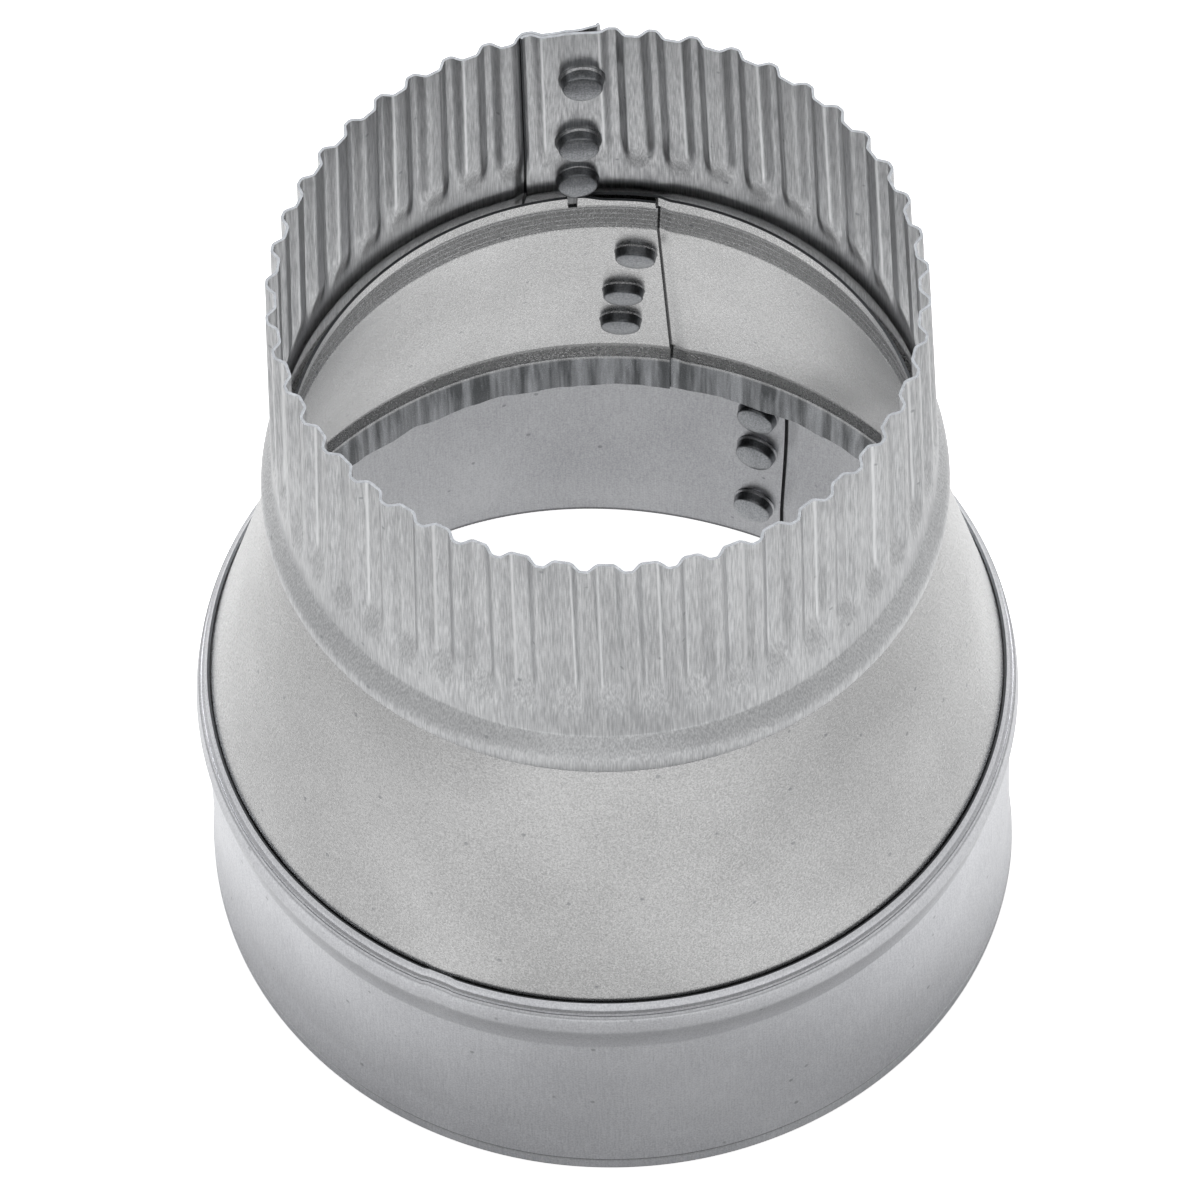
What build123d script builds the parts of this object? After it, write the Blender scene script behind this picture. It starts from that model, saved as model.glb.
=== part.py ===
from build123d import *
import math
import os

# Round duct reducer in three rolled sheets, standing on its large plain end.
# Origin: centre of the large end's lower edge. +Z runs up the duct axis.
# Azimuths are in degrees from +X towards +Y. Lengths are millimetres.

# Sheet and fits
sheet = 0.45
lap_gap = 0.06
seat_clearance = 0.10
lap_step = sheet + lap_gap
step_angle = 3.0
joint_gap = lap_step + seat_clearance

# Plain collar (large end), radii of the inside face
large_radius = 63.3
large_height = 47.5
mouth_flare = 0.5
mouth_height = 4.0
flare_top = 8.0
edge_line_height = 2.5
edge_line_width = 0.4
edge_line_depth = 0.12
large_bead_start = 36.0
large_bead_crest = 42.0
large_bead_depth = 1.3
large_bead_bend = 4.0
large_shoulder = 45.2
large_shoulder_depth = 0.85
large_lip_depth = 0.18
large_lap_start = 62.2
large_lap_angle = 11.7

# Cone
cone_bottom = 35.0
cone_flange_top = 42.6
cone_groove_low = 44.3
cone_groove_depth = 0.95
cone_wall_start = 46.3
cone_wall_start_depth = 0.1
cone_wall_end = 95.8
cone_wall_end_depth = 0.5
cone_groove_high = 100.4
cone_groove_high_depth = 1.6
cone_groove_bend = 1.0
cone_lip_start = 103.2
cone_lip_start_depth = 0.05
cone_top = 106.1
cone_lap_start = 79.7
cone_lap_angle = 13.7
cone_notch_azimuth = 94.3
cone_notch_width = 1.7
cone_notch_depth = 2.0
cone_notch_reach = 3.0

# Crimped collar (small end), radii of the inside face below the crimps
small_radius = 50.6
crimped_bottom = 97.4
crimped_bead_crest = 100.8
crimped_bead_depth = 1.85
crimped_bead_bend = 1.5
crimped_bead_end = 106.3
crimp_start = 112.5
crimp_full = 118.0
crimped_top = 149.5
raw_edge_depth = 0.85

# Crimps: radii of the middle of the sheet where they are full and at the rim
crimp_count = 48
crimp_lap_pitches = 2
first_crest = 101.55
crest_share = 0.16
trough_share = 0.46
full_crest_drop = 0.125
full_trough_drop = 1.625
rim_crest_drop = 0.495
rim_trough_drop = 2.195
# How far the crests and troughs are pressed flat where the sheet laps itself
pressed_crests = {0: 0.12, 1: 0.75}
pressed_troughs = {0: 0.45, 1: 0.60}

# Clinched buttons that hold the laps: they stand in towards the axis
button_base = 3.25
button_cap = 2.45
button_height = 2.0
button_edge = 0.35
button_sink = 0.3
crimped_button_proud = 0.15
pocket_clear = 1.5
pocket_mouth = 2.25
pocket_end = 1.75
crimped_buttons = ((92.2, 135.8), (93.4, 120.0), (93.8, 109.5))
cone_buttons = ((83.8, 85.8), (86.2, 69.6), (86.8, 56.9))
large_buttons = ((66.5, 31.3), (66.5, 22.1), (66.5, 9.1))

# Derived sizes
mouth_radius = large_radius + mouth_flare
cone_flange_radius = large_radius - joint_gap - sheet
cone_lip_radius = small_radius - joint_gap - sheet - seat_clearance
cone_wall_start_radius = cone_flange_radius + cone_wall_start_depth
cone_wall_end_radius = cone_lip_radius + cone_wall_end_depth
pitch_angle = 360.0 / crimp_count
crest_half = pitch_angle * crest_share / 2
trough_half = pitch_angle * trough_share / 2
middle_radius = small_radius + sheet / 2

large_line = (
    (mouth_radius, 0.0, 0.0),
    (mouth_radius, mouth_height, 0.0),
    (large_radius, flare_top, 0.0),
    (large_radius, large_bead_start, 0.0),
    (large_radius + large_bead_depth, large_bead_crest, large_bead_bend),
    (large_radius + large_shoulder_depth, large_shoulder, 0.0),
    (large_radius - large_lip_depth, large_height, 0.0),
)
cone_line = (
    (cone_flange_radius, cone_bottom, 0.0),
    (cone_flange_radius, cone_flange_top, 0.0),
    (cone_flange_radius + cone_groove_depth, cone_groove_low, 0.0),
    (cone_wall_start_radius, cone_wall_start, 0.0),
    (cone_wall_end_radius, cone_wall_end, 0.0),
    (cone_lip_radius + cone_groove_high_depth, cone_groove_high, cone_groove_bend),
    (cone_lip_radius + cone_lip_start_depth, cone_lip_start, 0.0),
    (cone_lip_radius, cone_top, 0.0),
)
crimped_line = (
    (small_radius + raw_edge_depth, crimped_bottom, 0.0),
    (small_radius + crimped_bead_depth, crimped_bead_crest, crimped_bead_bend),
    (small_radius, crimped_bead_end, 0.0),
    (small_radius, crimp_start, 0.0),
)


def radial_plane(azimuth):
    angle = math.radians(azimuth)
    out = (math.cos(angle), math.sin(angle), 0)
    side = (math.sin(angle), -math.cos(angle), 0)
    return Plane(origin=(0, 0, 0), x_dir=out, z_dir=side)


def section(line, azimuth, shift):
    # Cross-section of one sheet: the inside line, moved out by shift, and given the sheet's thickness.
    points = [(radius + shift, height) for radius, height, bend in line]
    bends = [bend for radius, height, bend in line[1:-1]]
    with BuildSketch(radial_plane(azimuth)) as profile:
        with BuildLine():
            inside = FilletPolyline(*points, radius=bends)
            offset(inside, amount=sheet, side=Side.RIGHT, kind=Kind.INTERSECTION)
        make_face()
    return profile.sketch.faces()[0]


def on_circle(radius, azimuth):
    angle = math.radians(azimuth)
    return Vector(radius * math.cos(angle), radius * math.sin(angle))


def azimuth_of(point):
    return math.degrees(math.atan2(point.Y, point.X))


def crest_radius(number, drop):
    return middle_radius - drop - pressed_crests.get(number % crimp_count, 0.0)


def trough_radius(number, drop):
    return middle_radius - drop + pressed_troughs.get(number % crimp_count, 0.0)


def crimp_corners(crest_drop, trough_drop):
    # Corners of the sheet's middle line, clockwise from the inner end, each with its layer of the lap.
    # Both ends are halfway down a flank. The last trough before the lap steps out to the second layer.
    corners = []
    for number in range(crimp_count + crimp_lap_pitches):
        azimuth = first_crest - pitch_angle * number
        layer = 0 if number < crimp_count else 1
        crest = crest_radius(number, crest_drop)
        trough = trough_radius(number, trough_drop)
        far_layer = 1 if number >= crimp_count - 1 else 0
        corners.append((on_circle(crest, azimuth + crest_half), layer))
        corners.append((on_circle(crest, azimuth - crest_half), layer))
        corners.append((on_circle(trough, azimuth - pitch_angle / 2 + trough_half), layer))
        corners.append((on_circle(trough, azimuth - pitch_angle / 2 - trough_half), far_layer))
    left_trough = on_circle(trough_radius(-1, trough_drop), first_crest + pitch_angle / 2 - trough_half)
    last = crimp_count + crimp_lap_pitches
    last_crest = on_circle(crest_radius(last, crest_drop), first_crest - pitch_angle * last + crest_half)
    start = (left_trough + corners[0][0]) / 2
    end = (corners[-1][0] + last_crest) / 2
    return [(start, 0)] + corners + [(end, 1)]


def crimped_outline(crest_drop, trough_drop, out):
    # The middle line moved out by out, with mitred corners, as a chain of straight edges
    corners = crimp_corners(crest_drop, trough_drop)
    places = [place for place, layer in corners]
    normals = []
    for place, following in zip(places, places[1:]):
        along = (following - place).normalized()
        normals.append(Vector(-along.Y, along.X))
    points = []
    for index, (place, layer) in enumerate(corners):
        before = normals[max(index - 1, 0)]
        after = normals[min(index, len(normals) - 1)]
        mitre = (before + after) / (1 + before.dot(after))
        points.append(place + mitre * (out + lap_step * layer))
    return [Line(place, following) for place, following in zip(points, points[1:])]


def round_outline(crest_drop, trough_drop, out):
    # The same chain on the plain circle below the crimps, as arcs with one straight step
    corners = crimp_corners(crest_drop, trough_drop)
    edges = []
    for (place, layer), (following, far_layer) in zip(corners, corners[1:]):
        radius = middle_radius + out + lap_step * layer
        start = on_circle(radius, azimuth_of(place))
        if layer != far_layer:
            edges.append(Line(start, on_circle(radius + lap_step, azimuth_of(following))))
        else:
            turn = (azimuth_of(place) - azimuth_of(following)) % 360
            halfway = on_circle(radius, azimuth_of(place) - turn / 2)
            edges.append(ThreePointArc(start, halfway, on_circle(radius, azimuth_of(following))))
    return edges


def crimp_strip(crest_drop, trough_drop, height, outline):
    # Flat C-shaped face between the inner and the outer chain. The edges are made outside a line
    # builder, which would join the arcs that share a circle and leave nothing to pair in the loft.
    inner = outline(crest_drop, trough_drop, -sheet / 2)
    outer = outline(crest_drop, trough_drop, sheet / 2)
    ends = [Line(inner[0] @ 0, outer[0] @ 0), Line(inner[-1] @ 1, outer[-1] @ 1)]
    return Pos(0, 0, height) * Face(Wire(inner + outer + ends))


def button_plane(radius, azimuth, height, lean):
    # Plane on the wall's inside face with its normal towards the axis; lean tips it up for the cone.
    angle = math.radians(azimuth)
    tip = math.radians(lean)
    inward = (-math.cos(angle) * math.cos(tip), -math.sin(angle) * math.cos(tip), -math.sin(tip))
    along = (-math.sin(angle), math.cos(angle), 0)
    place = (radius * math.cos(angle), radius * math.sin(angle), height)
    return Plane(origin=place, x_dir=along, z_dir=inward)


def button(depth):
    # Clinched button on its seat: drafted sides, a broken edge round the cap, and a plug into the laps
    with BuildPart() as boss:
        with BuildSketch(Plane.XZ):
            with BuildLine():
                Polyline(
                    (0, button_height),
                    (button_cap - button_edge, button_height),
                    (button_cap, button_height - button_edge),
                    (button_base, 0),
                    (button_base, -depth),
                    (0, -depth),
                    close=True,
                )
            make_face()
        revolve(axis=Axis.Z)
    return boss.part


# Buttons for the smooth laps and for the crimped lap, and the pocket punched into them from outside
smooth_button = button(lap_step + sheet / 2)
crimped_button = button(lap_step + sheet + button_sink + crimped_button_proud)
with BuildPart() as pocket:
    with BuildSketch(Plane.XZ):
        with BuildLine():
            Polyline(
                (0, button_height - sheet),
                (pocket_end, button_height - sheet),
                (pocket_mouth, -lap_step),
                (pocket_mouth, -lap_step - sheet - pocket_clear),
                (0, -lap_step - sheet - pocket_clear),
                close=True,
            )
        make_face()
    revolve(axis=Axis.Z)

# Plain collar: anticlockwise from the inner end, a step out, then the second layer
with BuildPart() as plain_collar:
    revolve(section(large_line, large_lap_start, 0), Axis.Z, 360 - step_angle)
    large_step = section(large_line, large_lap_start - step_angle, 0)
    large_second = section(large_line, large_lap_start, lap_step)
    loft([large_step, large_second], ruled=True)
    revolve(large_second, Axis.Z, large_lap_angle)
    with Locations([button_plane(large_radius, azimuth, height, 0) for azimuth, height in large_buttons]):
        add(smooth_button)
        add(pocket.part, mode=Mode.SUBTRACT)
    # Line rolled into the outside face just above the lower edge
    with BuildSketch(Plane.XZ):
        with Locations((mouth_radius + sheet, edge_line_height)):
            Rectangle(2 * edge_line_depth, edge_line_width)
    revolve(axis=Axis.Z, mode=Mode.SUBTRACT)

# Cone: rolled the same way, with a flange inside the plain collar and a lip inside the crimped collar
cone_slope = (cone_wall_start_radius - cone_wall_end_radius) / (cone_wall_end - cone_wall_start)
cone_lean = math.degrees(math.atan(cone_slope))


def cone_radius(height):
    return cone_wall_start_radius - cone_slope * (height - cone_wall_start)


with BuildPart() as cone:
    revolve(section(cone_line, cone_lap_start, 0), Axis.Z, 360 - step_angle)
    cone_step = section(cone_line, cone_lap_start - step_angle, 0)
    cone_second = section(cone_line, cone_lap_start, lap_step)
    loft([cone_step, cone_second], ruled=True)
    revolve(cone_second, Axis.Z, cone_lap_angle)
    seats = []
    for azimuth, height in cone_buttons:
        seats.append(button_plane(cone_radius(height), azimuth, height, cone_lean))
    with Locations(seats):
        add(smooth_button)
        add(pocket.part, mode=Mode.SUBTRACT)
    # Small notch in the lip beside the lap
    notch_middle = on_circle(cone_lip_radius, cone_notch_azimuth)
    with Locations(Location((notch_middle.X, notch_middle.Y, cone_top), (0, 0, cone_notch_azimuth))):
        Box(cone_notch_reach, cone_notch_width, 2 * cone_notch_depth, mode=Mode.SUBTRACT)

# Crimped collar: rolled the other way, clockwise from the inner end
full_corners = [place for place, layer in crimp_corners(full_crest_drop, full_trough_drop)]
inner_end = azimuth_of(full_corners[0])
step_start = azimuth_of(full_corners[4 * crimp_count - 1])
step_end = azimuth_of(full_corners[4 * crimp_count])
outer_end = azimuth_of(full_corners[-1])


def weak_crest(height):
    share = (height - crimp_full) / (crimped_top - crimp_full)
    drop = full_crest_drop + share * (rim_crest_drop - full_crest_drop)
    return crest_radius(1, drop)


with BuildPart() as crimped_collar:
    revolve(section(crimped_line, inner_end, 0), Axis.Z, -(360 - step_start + inner_end))
    crimped_step = section(crimped_line, step_start, 0)
    crimped_second = section(crimped_line, step_end, lap_step)
    loft([crimped_step, crimped_second], ruled=True)
    revolve(crimped_second, Axis.Z, -(step_end - outer_end))
    low = crimp_strip(full_crest_drop, full_trough_drop, crimp_start, round_outline)
    full = crimp_strip(full_crest_drop, full_trough_drop, crimp_full, crimped_outline)
    rim = crimp_strip(rim_crest_drop, rim_trough_drop, crimped_top, crimped_outline)
    loft([low, full, rim], ruled=True)
    for azimuth, height in crimped_buttons:
        in_crimps = height > crimp_start
        seat = weak_crest(height) - sheet / 2 - button_sink if in_crimps else small_radius
        with Locations(button_plane(seat, azimuth, height, 0)):
            add(crimped_button if in_crimps else smooth_button)
            add(pocket.part, mode=Mode.SUBTRACT)

plain_collar.part.label = "plain_collar"
cone.part.label = "cone"
crimped_collar.part.label = "crimped_collar"

os.makedirs("parts", exist_ok=True)
export_step(plain_collar.part, "parts/plain_collar.step")
export_step(cone.part, "parts/cone.step")
export_step(crimped_collar.part, "parts/crimped_collar.step")
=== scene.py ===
# %% [markdown]
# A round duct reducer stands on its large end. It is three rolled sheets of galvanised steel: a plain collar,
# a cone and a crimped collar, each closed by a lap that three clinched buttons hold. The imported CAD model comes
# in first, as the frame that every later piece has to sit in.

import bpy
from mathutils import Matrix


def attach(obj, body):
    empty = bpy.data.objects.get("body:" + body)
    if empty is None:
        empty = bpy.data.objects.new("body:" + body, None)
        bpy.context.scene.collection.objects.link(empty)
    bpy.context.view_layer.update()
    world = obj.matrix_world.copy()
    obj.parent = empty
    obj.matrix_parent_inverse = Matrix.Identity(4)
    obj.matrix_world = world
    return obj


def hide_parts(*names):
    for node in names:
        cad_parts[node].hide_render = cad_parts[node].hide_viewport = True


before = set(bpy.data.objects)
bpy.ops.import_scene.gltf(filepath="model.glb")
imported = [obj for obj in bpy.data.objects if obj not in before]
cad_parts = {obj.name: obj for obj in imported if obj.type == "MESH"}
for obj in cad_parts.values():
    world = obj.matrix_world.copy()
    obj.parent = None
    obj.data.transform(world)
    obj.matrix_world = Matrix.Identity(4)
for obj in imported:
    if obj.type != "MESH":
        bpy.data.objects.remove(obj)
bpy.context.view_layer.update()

# %% [markdown]
# Sheet-metal drawings are in millimetres and Blender works in metres, so every size below is written in
# millimetres and multiplied once. The first helpers let shapes start and stop gently.

# %% Units and small helpers
import math

import bmesh
import bpy
import numpy as np
from mathutils import Matrix, Vector

MM = 0.001


def ease(value):
    """0 below 0, 1 above 1, and a smooth S between."""
    value = np.clip(value, 0.0, 1.0)
    return value * value * (3.0 - 2.0 * value)


def between(low, high, share):
    return low + (high - low) * share


def window(value, start, end, soft):
    """1 from start to end, 0 outside, with a smooth run of the given length at both ends."""
    return ease((value - start + soft) / soft) * ease((end + soft - value) / soft)


def both_turns(azimuth, start, end, soft):
    """The same window in degrees round the axis, on a sheet's first turn and again on its lap."""
    return window(azimuth, start, end, soft) + window(azimuth, start + 360.0, end + 360.0, soft)


print("a smooth step at a quarter, half and three quarters:", ease(np.array([0.25, 0.5, 0.75])))

# %% [markdown]
# The photograph was taken from well above, through a long lens. A camera fitted to the round edges of the part
# looks down 56.5 degrees from 1.87 m, and is rolled by a little over one degree. Long lens and large distance go
# together: they keep the far wall nearly as large as the near one, as in the photograph.

# %% Camera
PITCH = math.radians(56.5)
ROLL = math.radians(-1.22)
DISTANCE = 1872.8 * MM
AIM_HEIGHT = 70.0 * MM
LENS = 360.0
SENSOR = 36.0
SLIDE_RIGHT = -0.83 * MM
SLIDE_UP = -2.38 * MM

forward = Vector((0.0, math.cos(PITCH), -math.sin(PITCH)))
level_right = Vector((1.0, 0.0, 0.0))
level_up = level_right.cross(forward)
camera_right = math.cos(ROLL) * level_right + math.sin(ROLL) * level_up
camera_up = -math.sin(ROLL) * level_right + math.cos(ROLL) * level_up
eye = Vector((0.0, 0.0, AIM_HEIGHT)) - forward * DISTANCE
eye += camera_right * SLIDE_RIGHT + camera_up * SLIDE_UP

camera_data = bpy.data.cameras.new("camera")
camera_data.lens = LENS
camera_data.sensor_width = SENSOR
camera_data.sensor_fit = "HORIZONTAL"
camera_data.clip_end = 10.0
camera = bpy.data.objects.new("camera", camera_data)
camera.matrix_world = Matrix((
    (camera_right.x, camera_up.x, -forward.x, eye.x),
    (camera_right.y, camera_up.y, -forward.y, eye.y),
    (camera_right.z, camera_up.z, -forward.z, eye.z),
    (0.0, 0.0, 0.0, 1.0),
))
bpy.context.scene.collection.objects.link(camera)
bpy.context.scene.camera = camera
print("camera at", [round(c, 3) for c in eye])

# %% [markdown]
# A sheet's section is drawn as the press tools make it: straight runs with a bend at each corner. The inside
# line is rounded at its corners, and the outside line is the same line moved out by the thickness of the sheet.

# %% Section of a sheet
SHEET = 0.45
BEND_STEP = math.radians(14.0)
NEARLY_STRAIGHT = math.radians(89.5)


def bent_line(corners, spacing):
    """Points along straight runs with rounded corners. Each corner is (radius, height, bend)."""
    places = [np.array(corner[:2], float) for corner in corners]
    line = [places[0]]
    for before, place, after, corner in zip(places, places[1:], places[2:], corners[1:-1]):
        back = (before - place) / np.linalg.norm(before - place)
        on = (after - place) / np.linalg.norm(after - place)
        half = math.acos(np.clip(back @ on, -1.0, 1.0)) / 2
        bend = corner[2]
        if bend == 0 or half > NEARLY_STRAIGHT:
            line.append(place)
            continue
        middle = place + (back + on) / np.linalg.norm(back + on) * bend / math.sin(half)
        start = place + back * bend / math.tan(half) - middle
        end = place + on * bend / math.tan(half) - middle
        turn = math.pi - 2 * half
        steps = max(2, math.ceil(turn / BEND_STEP))
        for step in range(steps + 1):
            share = step / steps
            mixed = (math.sin((1 - share) * turn) * start + math.sin(share * turn) * end) / math.sin(turn)
            line.append(middle + mixed)
    line.append(places[-1])
    dense = [line[0]]
    for point in line[1:]:
        first = dense[-1]
        count = max(1, math.ceil(np.linalg.norm(point - first) / spacing))
        dense.extend(between(first, point, (step + 1) / count) for step in range(count))
    return np.array(dense)


def outward(line):
    """Unit normals of the line, away from the duct's axis."""
    runs = np.diff(line, axis=0)
    runs /= np.linalg.norm(runs, axis=1)[:, None]
    normals = np.stack([runs[:, 1], -runs[:, 0]], axis=1)
    joined = np.vstack([normals[:1], normals[:-1] + normals[1:], normals[-1:]])
    return joined / np.linalg.norm(joined, axis=1)[:, None]


print("sheet", SHEET, "mm thick, bends drawn in steps of", round(math.degrees(BEND_STEP)), "degrees")

# %% [markdown]
# Three rings that are pressed together by hand are never quite in line. In the photograph the mouth and the
# crimped collar's bead sit a little to the right and the rim a little to the left, by half a millimetre at most.
# One curve of the height slides every piece and every button alike, so that nothing comes apart.

# %% Drift of the axis
DRIFT_HEIGHTS = (0.0, 8.0, 36.0, 48.0, 97.0, 112.0, 149.5)
DRIFTS = (0.5, 0.42, 0.0, 0.0, 0.35, 0.33, -0.28)


def drift(height):
    return np.interp(height, DRIFT_HEIGHTS, DRIFTS)


print("the axis drifts from", min(DRIFTS), "to", max(DRIFTS), "mm")

# %% [markdown]
# Every sheet becomes a mesh in the same way. Its points stand in columns round the axis, up the inside and down
# the outside, so the mesh is one closed skin with real thickness and real cut edges. Each face has a kind.

# %% Skin of a rolled sheet
FACE_KINDS = ("wall", "cut edge", "button")
CUT_EDGE_SLOT = FACE_KINDS.index("cut edge")
BUTTON_SLOT = FACE_KINDS.index("button")


def end_caps(index, rows):
    """Faces that close the skin at its first and last column."""
    caps = []
    last = 2 * rows - 1
    for column, flip in ((0, False), (len(index) - 1, True)):
        ring = index[column]
        for row in range(rows - 1):
            quad = [ring[row], ring[last - row], ring[last - 1 - row], ring[row + 1]]
            caps.append(quad[::-1] if flip else quad)
    return np.array(caps)


def skin(name, inside, outside):
    """Closed mesh from two grids of points, (columns, rows, 3), in millimetres."""
    columns, rows = inside.shape[:2]
    points = np.concatenate([inside, outside[:, ::-1]], axis=1)
    points[..., 0] += drift(points[..., 2])
    loop = 2 * rows
    index = np.arange(columns * loop).reshape(columns, loop)
    following = np.roll(index, -1, axis=1)
    faces = np.stack([index[:-1], following[:-1], following[1:], index[1:]], axis=-1).reshape(-1, 4)
    is_cut = np.zeros((columns - 1, loop), bool)
    is_cut[:, rows - 1] = True
    is_cut[:, -1] = True
    caps = end_caps(index, rows)
    faces = np.vstack([faces, caps])
    cut = np.concatenate([is_cut.ravel(), np.ones(len(caps), bool)])
    mesh = bpy.data.meshes.new(name)
    mesh.from_pydata((points.reshape(-1, 3) * MM).tolist(), [], faces.tolist())
    for _ in FACE_KINDS:
        mesh.materials.append(None)
    mesh.polygons.foreach_set("material_index", (cut * CUT_EDGE_SLOT).astype(np.int32))
    mesh.update()
    piece = bpy.data.objects.new(name, mesh)
    bpy.context.scene.collection.objects.link(piece)
    work = bmesh.new()
    work.from_mesh(mesh)
    bmesh.ops.recalc_face_normals(work, faces=work.faces)
    work.to_mesh(mesh)
    work.free()
    print(name, "columns", columns, "rows", rows, "faces", len(mesh.polygons))
    return piece


print("slots of a sheet:", FACE_KINDS)

# %% [markdown]
# Each sheet starts at its inner end, goes once round and laps over itself. Just before the turn is complete it
# steps out by a little more than its own thickness, so more columns stand there. The plain collar also has a
# fine line rolled into it near its edge, which is pushed into the outer face only.

# %% Rolling a smooth sheet
LAP_STEP = 0.51
STEP_COLUMNS = 9
SCORE_LINE = 2.5
SCORE_DEPTH = 0.2
SCORE_HALF = 0.18
SCORE_SOFT = 0.12


def columns_round(lap, spacing, step_start, step_end):
    """Angles from the inner end, with more of them where the sheet steps out."""
    plain = np.arange(0.0, 360.0 + lap, spacing)
    step = np.linspace(step_start, step_end, STEP_COLUMNS)
    plain = plain[(plain < step_start - spacing / 3) | (plain > step_end + spacing / 3)]
    return np.unique(np.concatenate([plain, step, [360.0 + lap]]))


def roll_smooth(name, line, start, lap, step_angle, spacing, relief, extra=()):
    """A sheet rolled anticlockwise. relief(angle, azimuth, height) gives moves outward and up."""
    angle = columns_round(lap, spacing, 360.0 - step_angle, 360.0)
    angle = np.unique(np.concatenate([angle, np.mod(np.array(extra) - start, 360.0)]))
    shift = LAP_STEP * ease((angle - 360.0 + step_angle) / step_angle)
    azimuth = np.radians(start + angle)[:, None]
    scored = SCORE_DEPTH * window(line[:, 1], SCORE_LINE - SCORE_HALF, SCORE_LINE + SCORE_HALF, SCORE_SOFT)
    grids = []
    for layer in (0.0, SHEET):
        place = line + outward(line) * layer
        moved, raised = relief(angle[:, None], np.degrees(azimuth), line[None, :, 1])
        radius = place[None, :, 0] + shift[:, None] + moved - layer / SHEET * scored
        height = place[None, :, 1] + raised
        grids.append(np.stack([radius * np.cos(azimuth), radius * np.sin(azimuth), height], axis=-1))
    return skin(name, *grids)


print("columns in one turn with a lap of 12 degrees:", len(columns_round(12.0, 1.0, 357.0, 360.0)))

# %% [markdown]
# Hand-made waviness comes from a few sine waves of fixed, uneven lengths rather than from random numbers, so
# that the script makes the same part on every run. Each wave is a pair of its pace and its size.

# %% Waviness
UNEVEN_WAVES = ((1.0, 1.0), (0.53, 0.8), (1.71, 0.5), (2.63, 0.3))
SEED_PHASE = 3.1
WAVE_PHASE = 7.7


def uneven(position, seed):
    """A wavy value between -1 and 1 along a position, different for each seed."""
    total = sum(size for _, size in UNEVEN_WAVES)
    value = sum(
        size * np.sin(position * pace + seed * (SEED_PHASE + WAVE_PHASE * order))
        for order, (pace, size) in enumerate(UNEVEN_WAVES)
    )
    return value / total


print("waviness at 0, 1 and 2:", np.round(uneven(np.arange(3.0), 1.0), 2))

# %% [markdown]
# The plain collar is the large end. Its wall is nearly straight: it widens a little at the mouth, has a bead near
# the top that locks the cone, and a lip that turns in over the cone's foot.

# %% Section of the plain collar
LARGE_RADIUS = 63.3
LARGE_LINE = (
    (63.6, 0.0, 0.0),
    (63.6, 0.15, 0.0),
    (63.78, 0.5, 0.4),
    (63.78, 2.2, 0.0),
    (63.78, 2.32, 0.0),
    (63.78, 2.68, 0.0),
    (63.78, 2.8, 0.0),
    (63.7, 4.0, 6.0),
    (63.3, 9.5, 9.0),
    (63.3, 36.0, 4.0),
    (64.6, 42.0, 2.6),
    (64.2, 44.9, 0.5),
    (63.9, 45.2, 0.0),
    (63.7, 45.3, 0.0),
    (63.66, 45.9, 0.0),
    (63.3, 46.1, 0.0),
    (63.16, 46.9, 0.0),
    (62.78, 47.5, 0.0),
)
LARGE_SPACING = 3.0
large_line = bent_line(LARGE_LINE, LARGE_SPACING)
print("plain collar section", len(large_line), "points")

# %% [markdown]
# Rolling and handling leave the collar uneven, which shows in its reflections. Its lip lies looser over the
# cone's lap, is pinched at one place in front, and the far wall is pressed in near the mouth, as the outline of
# the hole shows in the photograph. A lap has two layers, so both of its turns get the same marks.

# %% Plain collar
LARGE_LAP_START = 62.2
LARGE_LAP = 11.7
SMOOTH_STEP = 3.0
CONE_LAP_START = 79.7
CONE_LAP = 13.7
LARGE_WAVE = 0.045
LIP_WAVE = 0.05
LIP_START = 45.0
LIP_EASED = 0.34
PINCH_AZIMUTH = 244.5
PINCH = 0.22
PINCH_START = 39.0
DENT = 3.2
DENT_TOP = 34.0
DENT_FROM, DENT_TO, DENT_SOFT = 52.0, 68.0, 62.0


def collar_relief(angle, azimuth, height):
    turn = np.radians(azimuth)
    wave = -LARGE_WAVE * (1.0 + uneven(turn * 5.0, 1.0)) * ease((height - 1.0) / 6.0)
    eased = LIP_EASED * both_turns(azimuth, CONE_LAP_START - 3.5, CONE_LAP_START + CONE_LAP + 0.5, 3.0)
    lip = (eased - LIP_WAVE * (1.0 + uneven(turn * 9.0, 5.0))) * ease((height - LIP_START) / 2.4)
    pinched = window(azimuth, PINCH_AZIMUTH - 1.2, PINCH_AZIMUTH + 1.4, 1.0)
    pinch = -PINCH * pinched * ease((height - PINCH_START) / 3.0)
    flattened = both_turns(azimuth, DENT_FROM, DENT_TO, DENT_SOFT)
    dent = -DENT * flattened * ease((DENT_TOP - height) / DENT_TOP)
    return wave + lip + pinch + dent, np.zeros_like(wave)


plain_collar = roll_smooth(
    "plain_collar_sheet", large_line, LARGE_LAP_START, LARGE_LAP, SMOOTH_STEP, 1.0, collar_relief
)

# %% [markdown]
# The cone tapers from one collar to the other. Its foot and its top are each rolled into a groove, which the
# beads of the collars grip. The grooves get more points than the straight wall between them.

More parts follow.
